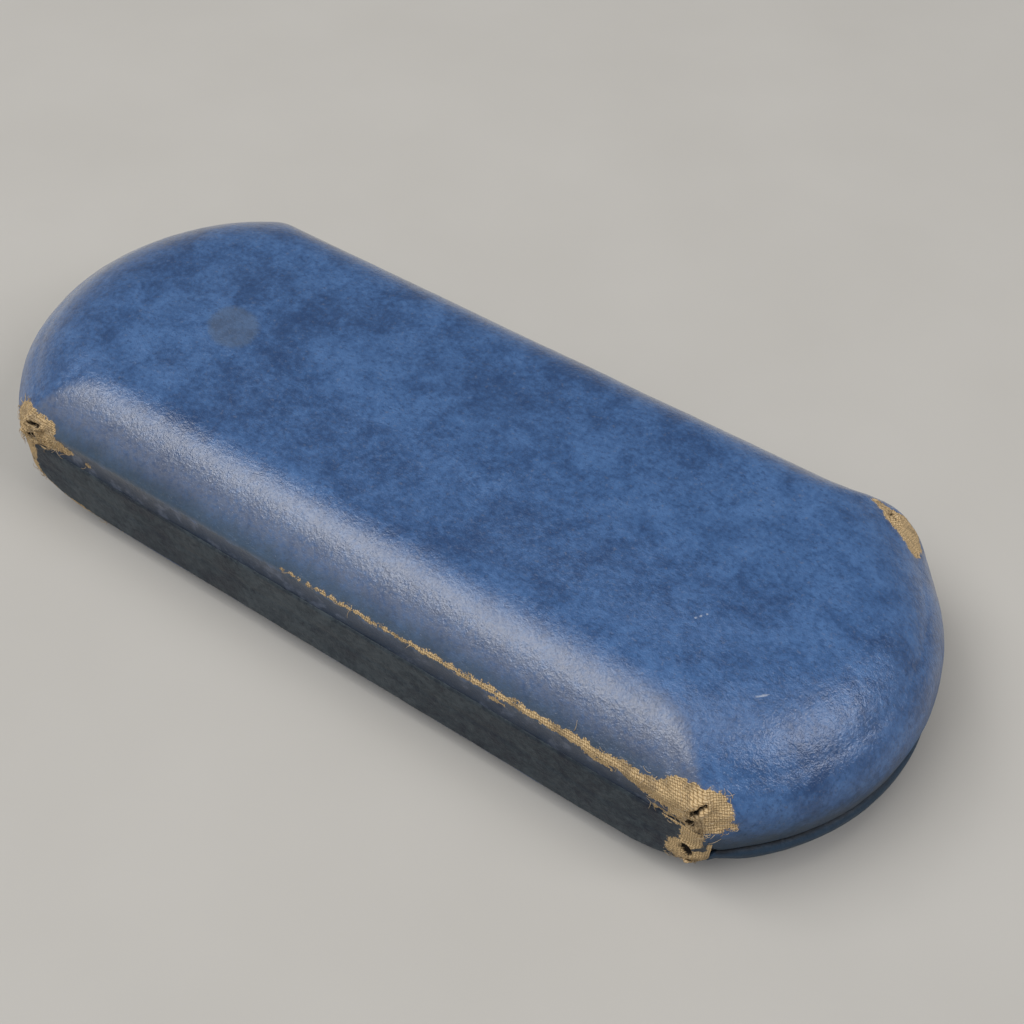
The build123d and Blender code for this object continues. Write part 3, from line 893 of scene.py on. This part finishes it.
# ---- Materials ----
class Shade:
    """A material's node tree, with short ways to add the nodes used here."""

    def __init__(self, name, coordinates="rest_mm"):
        self.material = bpy.data.materials.new(name)
        self.material.use_nodes = True
        self.nodes = self.material.node_tree.nodes
        self.links = self.material.node_tree.links
        self.nodes.clear()
        output = self.nodes.new("ShaderNodeOutputMaterial")
        self.shader = self.nodes.new("ShaderNodeBsdfPrincipled")
        self.links.new(self.shader.outputs["BSDF"], output.inputs["Surface"])
        if coordinates == "object":
            place = self.add("TexCoord", "Object", {})
            self.where = self.add("VectorMath", "Vector", {0: place, "Scale": 1 / MM}, operation="SCALE")
        else:
            self.where = self.attribute(coordinates, "Vector")

    def put(self, socket, value):
        if isinstance(value, bpy.types.NodeSocket):
            self.links.new(value, socket)
        elif isinstance(value, tuple) and len(value) == 3 and socket.type == "RGBA":
            socket.default_value = (*value, 1.0)
        else:
            socket.default_value = value

    def add(self, kind, output, inputs, **settings):
        """A new node with its settings and inputs; gives back one of its outputs."""
        node = self.nodes.new("ShaderNode" + kind)
        for name, setting in settings.items():
            setattr(node, name, setting)
        for socket, value in inputs.items():
            self.put(node.inputs[socket], value)
        return node.outputs[output]

    def attribute(self, name, output="Fac"):
        return self.add("Attribute", output, {}, attribute_name=name)

    def math(self, operation, a, b=0.0):
        return self.add("Math", 0, {0: a, 1: b}, operation=operation)

    def times(self, a, b):
        return self.math("MULTIPLY", a, b)

    def noise(self, size, detail=2.0, rough=0.5, stretch=(1.0, 1.0, 1.0), warp=0.0):
        """Noise from 0 to 1 with features about size millimetres across."""
        place = self.add("VectorMath", "Vector", {0: self.where, 1: stretch}, operation="MULTIPLY")
        texture = {"Vector": place, "Scale": 1.0 / size, "Detail": detail}
        return self.add("TexNoise", "Fac", {**texture, "Roughness": rough, "Distortion": warp})

    def cells(self, size):
        """Soft distance to cell centres, for cells about size millimetres across."""
        cells = {"Vector": self.where, "Scale": 1.0 / size}
        return self.add("TexVoronoi", "Distance", cells, feature="SMOOTH_F1")

    def fit(self, value, low, high, to_low=0.0, to_high=1.0):
        """value between low and high, as an eased slope from to_low to to_high."""
        source = {"Value": value, "From Min": low, "From Max": high}
        target = {"To Min": to_low, "To Max": to_high}
        return self.add("MapRange", "Result", {**source, **target}, interpolation_type="SMOOTHSTEP")

    def mix(self, share, a, b):
        """Colours a and b mixed."""
        return self.add("Mix", 2, {0: share, 6: a, 7: b}, data_type="RGBA")

    def blend_values(self, share, a, b):
        return self.add("Mix", 0, {0: share, 2: a, 3: b}, data_type="FLOAT")

    def ramp(self, value, *stops):
        """Colours along value, as (position, colour) stops."""
        node = self.nodes.new("ShaderNodeValToRGB")
        self.put(node.inputs["Fac"], value)
        band = node.color_ramp.elements
        while len(band) < len(stops):
            band.new(0.5)
        for element, (position, colour) in zip(band, stops):
            element.position = position
            element.color = (*colour, 1.0)
        return node.outputs["Color"]

    def sum(self, *weighted):
        """Sum of (value, weight) pairs."""
        total = None
        for value, weight in weighted:
            part = self.times(value, weight)
            total = part if total is None else self.math("ADD", total, part)
        return total

    def bump(self, height, distance_mm):
        normal = self.add("Bump", "Normal", {"Height": height, "Distance": distance_mm * MM})
        self.put(self.shader.inputs["Normal"], normal)
        self.put(self.shader.inputs["Coat Normal"], normal)

    def finish(self, **sockets):
        for name, value in sockets.items():
            self.put(self.shader.inputs[name.replace("_", " ")], value)
        return self.material


NAVY = (0.016, 0.054, 0.155)
BLUE = (0.041, 0.110, 0.270)
PALE_BLUE = (0.070, 0.165, 0.370)
OVER_RIDGE = (0.045, 0.070, 0.090)
# Painted shade for the band below the lid's back ridge.
UNDER_RIDGE_SHADE = (0.020, 0.032, 0.055)
# Lavender-grey of rubbed coat; along the back roll it also stands for a painted sheen.
LAVENDER_RUB_AND_SHEEN = (0.165, 0.185, 0.245)
# Painted shade for the cover's lower wall near the rim.
TEAL_RIM_SHADE = (0.014, 0.030, 0.042)
# Painted shade of the dark gap along the rim seam.
SEAM_GAP_SHADE = (0.005, 0.006, 0.009)
TAN = (0.58, 0.385, 0.18)
# Tans of the backing cloth: the light one is a painted highlight on raised threads, the dark one is
# painted shade in the weave's hollows.
TAN_THREAD_HIGHLIGHT = (0.78, 0.58, 0.33)
TAN_HOLLOW_SHADE = (0.13, 0.075, 0.032)
# Near-black of the pits: dark rusty steel, with the shade inside a hole painted in.
HOLE_RUST_AND_SHADE = (0.012, 0.008, 0.006)
SPINE_GREY = (0.030, 0.043, 0.056)
SPINE_DARK = (0.009, 0.014, 0.028)
SPINE_PALE = (0.062, 0.080, 0.095)
UNDER_PALE = (0.085, 0.105, 0.15)
RUBBED_OVAL = (0.10, 0.13, 0.17)
SCRATCH_PALE = (0.42, 0.46, 0.55)
CLOTH_DIRT = (0.15, 0.115, 0.08)
THREAD_PITCH = 0.36
COVER_ROUGHNESS = 0.36
SPINE_ROUGHNESS = 0.5
# Rise of the middle of the rubbed band along the back roll, which also carries a painted sheen.
RUB_AND_SHEEN_RISE = 15.0


def worn_share(shade):
    """0 where the coat is whole and 1 where the backing cloth shows, then the same for fading."""
    rough = shade.sum(
        (shade.attribute("worn"), 1.0),
        (shade.noise(1.0, 3.0, 0.6), 1.9),
        (shade.noise(0.28, 2.0, 0.6), 0.9),
    )
    return shade.fit(rough, 1.32, 1.46), shade.fit(rough, 0.9, 1.35)


def hole_share(shade):
    rough = shade.sum((shade.attribute("pit"), 1.0), (shade.noise(0.4, 2.0), 0.5))
    return shade.fit(rough, 0.15, 0.33)


def backing_cloth(shade):
    """Plain woven tan cloth: its colour and its height."""
    split = shade.nodes.new("ShaderNodeSeparateXYZ")
    shade.put(split.inputs[0], shade.attribute("weave", "Vector"))
    drift = shade.times(shade.noise(2.5, 1.0), 0.5)
    places = [shade.math("ADD", way, drift) for way in split.outputs[:2]]
    along, across = [shade.math("SINE", shade.times(at, math.pi / THREAD_PITCH)) for at in places]
    over = shade.fit(shade.times(along, across), -0.1, 0.1)
    height = shade.blend_values(over, shade.math("ABSOLUTE", along), shade.math("ABSOLUTE", across))
    fluff = shade.noise(0.22, 3.0, 0.7)
    level = shade.sum((height, 0.65), (fluff, 0.5))
    dirt = shade.fit(shade.noise(2.2, 3.0, 0.6), 0.42, 0.72)
    # Painted highlight and shade: raised threads lighter and the weave's hollows darker, mixed with noise
    # for fluff.
    colour = shade.ramp(level, (0.22, TAN_HOLLOW_SHADE), (0.52, TAN), (0.92, TAN_THREAD_HIGHLIGHT))
    return shade.mix(shade.times(dirt, 0.55), colour, CLOTH_DIRT), level


def coated_cloth(name, dark, middle, pale, rub_colour):
    """Coated cloth with mottled colour, and the share of it that is worn bare."""
    shade = Shade(name)
    tone = shade.sum(
        (shade.noise(24.0, 2.0, 0.5), 0.8),
        (shade.noise(5.0, 4.0, 0.68, warp=0.5), 1.1),
        (shade.noise(0.9, 3.0, 0.7), 0.8),
    )
    colour = shade.ramp(shade.fit(tone, 0.95, 1.75), (0.0, dark), (0.5, middle), (1.0, pale))
    speck = shade.fit(shade.noise(0.7, 2.0, 0.7), 0.60, 0.74)
    colour = shade.mix(shade.times(speck, 0.35), colour, rub_colour)
    pore = shade.fit(shade.noise(0.75, 3.0, 0.7, stretch=(0.8, 1.3, 1.0)), 0.33, 0.47, 1.0, 0.0)
    colour = shade.mix(shade.times(pore, 0.6), colour, dark)
    bare, fading = worn_share(shade)
    return shade, shade.mix(shade.times(fading, 0.45), colour, rub_colour), bare


def finish_cloth(shade, colour, bare, roughness, coat, specular):
    """Grain, gloss, holes and the bare backing cloth, once the coat's colour is settled."""
    hole = hole_share(shade)
    cloth, cloth_height = backing_cloth(shade)
    # Pits are painted near-black: the shade inside a hole, over dark rusty steel.
    colour = shade.mix(hole, shade.mix(bare, colour, cloth), HOLE_RUST_AND_SHADE)
    grain = shade.sum(
        (shade.noise(0.26, 2.0, 0.6), 0.8),
        (shade.noise(0.55, 2.0, 0.6), 0.6),
        (shade.cells(0.6), 0.5),
        (shade.noise(2.2, 2.0, 0.5, stretch=(0.6, 1.4, 1.0)), 0.8),
    )
    height = shade.blend_values(bare, shade.times(grain, 0.085), shade.times(cloth_height, 0.20))
    shade.bump(shade.math("SUBTRACT", height, shade.times(hole, 0.3)), 1.0)
    patchy = shade.math("ADD", roughness, shade.fit(shade.noise(5.0, 3.0, 0.6), 0.35, 0.7, -0.05, 0.10))
    return shade.finish(
        Base_Color=colour,
        Roughness=shade.blend_values(bare, patchy, 0.92),
        Specular_IOR_Level=specular,
        Coat_Weight=shade.blend_values(bare, coat, 0.0),
        Coat_Roughness=0.13,
    )


def cover_cloth():
    """Mottled blue coated cloth of the lid and the base."""
    shade, colour, bare = coated_cloth("blue_leatherette", NAVY, BLUE, PALE_BLUE, LAVENDER_RUB_AND_SHEEN)
    rise = shade.attribute("rise")
    back = shade.attribute("back")
    blotch = shade.noise(2.4, 3.0, 0.65)
    # Painted shade: the lower wall near the rim is darkened to teal-black, with a ragged noisy top edge.
    low = shade.fit(shade.sum((rise, 1.0), (blotch, 5.0)), 3.5, 11.0, 1.0, 0.0)
    colour = shade.mix(shade.times(low, 0.85), colour, TEAL_RIM_SHADE)
    # Painted shade: near-black along the rim, where the gap between lid and base lies.
    seam = shade.fit(shade.sum((rise, 1.0), (blotch, 0.4)), 0.25, 0.75, 0.92, 0.0)
    colour = shade.mix(seam, colour, SEAM_GAP_SHADE)
    # Painted shade: a dark band below the back ridge, mottled with paler patches.
    ragged = shade.sum((rise, 1.0), (blotch, 2.0))
    under = shade.times(shade.fit(ragged, RIDGE_RISE + 0.2, RIDGE_RISE + 0.9, 1.0, 0.0), back)
    mottled = shade.mix(shade.fit(blotch, 0.5, 0.68), UNDER_RIDGE_SHADE, UNDER_PALE)
    colour = shade.mix(shade.times(under, 0.85), colour, mottled)
    # Rubbed coat with a painted sheen: a lavender-grey band along the back roll, where the highlight
    # falls.
    from_rub = shade.math("ABSOLUTE", shade.math("SUBTRACT", rise, RUB_AND_SHEEN_RISE))
    rubbed = shade.times(shade.fit(from_rub, 1.0, 7.5, 1.0, 0.0), back)
    rubbed = shade.times(rubbed, shade.fit(shade.noise(0.8, 3.0, 0.7), 0.30, 0.62, 0.35, 0.75))
    colour = shade.mix(rubbed, colour, LAVENDER_RUB_AND_SHEEN)
    spotty = shade.sum((rise, 1.0), (blotch, 3.0))
    over = shade.fit(spotty, RIDGE_RISE + 1.5, RIDGE_RISE + 6.0, 0.75, 0.0)
    over = shade.times(shade.times(over, back), shade.fit(rise, RIDGE_RISE - 1, RIDGE_RISE))
    colour = shade.mix(over, colour, OVER_RIDGE)
    scuff = shade.sum((shade.attribute("scuff"), 1.0), (shade.noise(0.8, 3.0, 0.7), 1.2), (blotch, 1.2))
    colour = shade.mix(shade.fit(scuff, 1.0, 2.6, 0.0, 0.42), colour, RUBBED_OVAL)
    scratch = shade.sum((shade.attribute("scratch"), 1.0), (shade.noise(1.2, 2.0), 0.25))
    colour = shade.mix(shade.fit(scratch, 0.02, 0.16, 0.0, 0.7), colour, SCRATCH_PALE)
    coat = shade.fit(rise, 5.0, 12.0, 0.06, 1.0)
    roughness = shade.fit(rise, 4.0, 10.0, 0.62, COVER_ROUGHNESS)
    return finish_cloth(shade, colour, bare, roughness, coat, 0.35)


def spine_cloth():
    """Greenish-grey coated cloth of the spine strip."""
    tones = (SPINE_DARK, SPINE_GREY, SPINE_PALE, SPINE_PALE)
    shade, colour, bare = coated_cloth("spine_leatherette", *tones)
    return finish_cloth(shade, colour, bare, SPINE_ROUGHNESS, 0.05, 0.25)


VELVET_SHEEN = (0.35, 0.42, 0.75)
COTTON = ((0.55, 0.52, 0.46), (0.86, 0.84, 0.79))
BOARD = ((0.30, 0.25, 0.18), (0.42, 0.37, 0.28))
THREAD = ((0.30, 0.21, 0.12), (0.62, 0.50, 0.34))
RUST = (0.14, 0.07, 0.03)


def velvet(name, dark, pale):
    """Short-pile velvet, brushed lighter and darker in soft patches."""
    shade = Shade(name)
    brushed = shade.sum((shade.noise(11.0, 2.0, 0.5, warp=1.0), 0.8), (shade.noise(0.5, 2.0, 0.6), 0.4))
    colour = shade.ramp(shade.fit(brushed, 0.4, 0.8), (0.0, dark), (1.0, pale))
    shade.bump(shade.sum((shade.noise(0.3, 2.0, 0.7), 1.0), (shade.noise(4.0, 2.0), 1.2)), 0.08)
    return shade.finish(
        Base_Color=colour,
        Roughness=0.95,
        Sheen_Weight=0.7,
        Sheen_Roughness=0.35,
        Sheen_Tint=VELVET_SHEEN,
        Specular_IOR_Level=0.15,
    )


def cotton():
    """Pale cotton wadding with fine fibres."""
    shade = Shade("cotton_wadding")
    strands = shade.noise(0.35, 3.0, 0.7, stretch=(1.0, 0.4, 1.0))
    fibre = shade.sum((strands, 0.6), (shade.noise(3.0, 2.0), 0.5))
    colour = shade.ramp(fibre, (0.3, COTTON[0]), (0.8, COTTON[1]))
    shade.bump(fibre, 0.15)
    return shade.finish(Base_Color=colour, Roughness=1.0, Specular_IOR_Level=0.1)


def board():
    """Brown flecked paper board."""
    shade = Shade("liner_board", "object")
    fleck = shade.sum((shade.noise(0.6, 3.0, 0.7), 0.6), (shade.noise(4.0, 2.0), 0.4))
    colour = shade.ramp(fleck, (0.35, BOARD[0]), (0.7, BOARD[1]))
    shade.bump(shade.noise(0.4, 2.0, 0.6), 0.03)
    return shade.finish(Base_Color=colour, Roughness=0.9, Specular_IOR_Level=0.2)


def steel(name, tone, roughness, grain, coordinates="object"):
    """Bare steel with fine drawing lines, a dull film and a few brown stains."""
    shade = Shade(name, coordinates)
    lines = shade.noise(0.25, 2.0, 0.5, stretch=grain)
    film = shade.noise(3.0, 3.0, 0.6)
    stain = shade.fit(shade.noise(2.2, 3.0, 0.7), 0.60, 0.72)
    dark = tuple(0.55 * c for c in tone)
    colour = shade.ramp(shade.sum((lines, 0.5), (film, 0.5)), (0.3, dark), (0.7, tone))
    colour = shade.mix(shade.times(stain, 0.5), colour, RUST)
    shade.bump(lines, 0.02)
    return shade.finish(
        Base_Color=colour,
        Metallic=shade.blend_values(stain, 1.0, 0.6),
        Roughness=shade.fit(film, 0.3, 0.7, roughness - 0.08, roughness + 0.12),
    )


def thread():
    """Tan thread of the worn backing cloth."""
    shade = Shade("frayed_thread")
    colour = shade.ramp(shade.noise(1.5, 2.0), (0.3, THREAD[0]), (0.7, THREAD[1]))
    shade.bump(shade.noise(0.1, 1.0), 0.02)
    return shade.finish(Base_Color=colour, Roughness=0.9, Specular_IOR_Level=0.2)


def paint(node, material):
    """A procedural material on a CAD node that stays in view."""
    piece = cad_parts[node]
    piece.data.materials.clear()
    piece.data.materials.append(material)


# ---- Building the case ----
cover_material = cover_cloth()
cover_skin(LID, "lid_cloth", "lid_cover", cover_material)
cover_skin(BASE, "base_cloth", "base_cover", cover_material)
spine_strip(spine_cloth())

velvet_material = velvet("velvet_lining", (0.006, 0.010, 0.035), (0.020, 0.032, 0.095))
cotton_material = cotton()
for half in (LID, BASE):
    pad(half, cotton_material)
    lining(half, velvet_material)
hinge_ribbon(velvet("velvet_ribbon", (0.005, 0.009, 0.030), (0.016, 0.026, 0.080)))

blued = steel("spring_steel", (0.10, 0.115, 0.16), 0.30, (0.2, 1.0, 1.0), "rest_mm")
for side in ("left", "right"):
    snap_spring(side, blued)

thread_material = thread()
frayed_threads(LID, 300, thread_material)
frayed_threads(BASE, 36, thread_material)

shell_steel = steel("pressed_steel", (0.45, 0.45, 0.46), 0.45, (0.15, 1.0, 1.0))
hinge_metal = steel("hinge_steel", (0.50, 0.50, 0.51), 0.35, (0.15, 1.0, 1.0))
rivet_metal = steel("rivet_steel", (0.55, 0.55, 0.55), 0.30, (1.0, 1.0, 1.0))
for half in ("base", "lid"):
    paint(half + "_shell", shell_steel)
    paint(half + "_liner_board", board())
    paint(half + "_hinge_leaf", hinge_metal)
    paint(half + "_leaf_rivets", rivet_metal)
paint("hinge_pin", steel("pin_wire", (0.60, 0.60, 0.60), 0.25, (0.1, 1.0, 1.0)))


# ---- The table top, the lights and the camera ----
FLOOR_HALF = 1.6
TABLE = ((0.525, 0.503, 0.464), (0.547, 0.525, 0.486))
CENTRE = Vector((0.0, 0.0, 0.012))
LIGHT_DISTANCE = 1.6
ROOM_TINT = (0.96, 0.98, 1.0, 1.0)
ROOM_STRENGTH = 0.18
CAMERA_AZIMUTH = 211.68
CAMERA_ELEVATION = 48.05
CAMERA_ROLL = 3.2
CAMERA_DISTANCE = 0.2214
CAMERA_TARGET = Vector((-0.0122, 0.0033, 0.0196))
CAMERA_SIDE = 0.00077
CAMERA_LENS = 50.66
UPWARDS = Vector((0, 0, 1))


def direction(azimuth, elevation):
    """Unit vector from the case, with azimuth 0 at the front and growing to the right."""
    a = math.radians(azimuth)
    e = math.radians(elevation)
    return Vector((math.sin(a) * math.cos(e), -math.cos(a) * math.cos(e), math.sin(e)))


def floor():
    """Plain pale table top under the case."""
    mesh = bpy.data.meshes.new("floor")
    corners = [(x * FLOOR_HALF, y * FLOOR_HALF, 0) for x, y in ((-1, -1), (1, -1), (1, 1), (-1, 1))]
    mesh.from_pydata(corners, [], [(0, 1, 2, 3)])
    shade = Shade("table_top", "object")
    tone = shade.noise(40.0, 3.0, 0.5)
    colour = shade.ramp(tone, (0.3, TABLE[0]), (0.7, TABLE[1]))
    mesh.materials.append(shade.finish(Base_Color=colour, Roughness=0.85, Specular_IOR_Level=0.2))
    piece = bpy.data.objects.new("floor", mesh)
    bpy.context.scene.collection.objects.link(piece)


def softbox(name, azimuth, elevation, size, power, colour):
    """Rectangular area light that faces the case."""
    light = bpy.data.lights.new(name, "AREA")
    light.shape = "RECTANGLE"
    light.size = size[0]
    light.size_y = size[1]
    light.energy = power
    light.color = colour
    lamp = bpy.data.objects.new(name, light)
    towards = direction(azimuth, elevation)
    turn = towards.to_track_quat("Z", "Y").to_matrix().to_4x4()
    lamp.matrix_world = Matrix.Translation(CENTRE + towards * LIGHT_DISTANCE) @ turn
    bpy.context.scene.collection.objects.link(lamp)


def room():
    """Even grey light from all round."""
    world = bpy.data.worlds.new("room")
    world.use_nodes = True
    back = world.node_tree.nodes["Background"]
    back.inputs["Color"].default_value = ROOM_TINT
    back.inputs["Strength"].default_value = ROOM_STRENGTH
    bpy.context.scene.world = world


def camera():
    """A near view from behind and to one side, turned a little about its own axis."""
    back = direction(CAMERA_AZIMUTH, CAMERA_ELEVATION)
    level = (-back).cross(UPWARDS).normalized()
    down = (-back).cross(level)
    roll = math.radians(CAMERA_ROLL)
    right = level * math.cos(roll) - down * math.sin(roll)
    up = -(level * math.sin(roll) + down * math.cos(roll))
    data = bpy.data.cameras.new("camera")
    data.lens = CAMERA_LENS
    data.sensor_width = 36
    data.clip_start = 0.005
    data.clip_end = 20
    eye = bpy.data.objects.new("camera", data)
    place = CAMERA_TARGET + right * CAMERA_SIDE + back * CAMERA_DISTANCE
    turn = Matrix((right, up, back)).transposed().to_4x4()
    eye.matrix_world = Matrix.Translation(place) @ turn
    bpy.context.scene.collection.objects.link(eye)
    bpy.context.scene.camera = eye


floor()
room()
softbox("window", 90, 86, (0.9, 0.9), 4.2, (1.0, 0.99, 0.97))
softbox("spine_light", 140, 57, (1.7, 0.72), 16.4, (0.985, 0.99, 1.0))
softbox("end_light", 281, 46, (0.8, 0.8), 8.0, (0.97, 0.97, 1.0))
camera()
bpy.context.scene.view_settings.view_transform = "Standard"
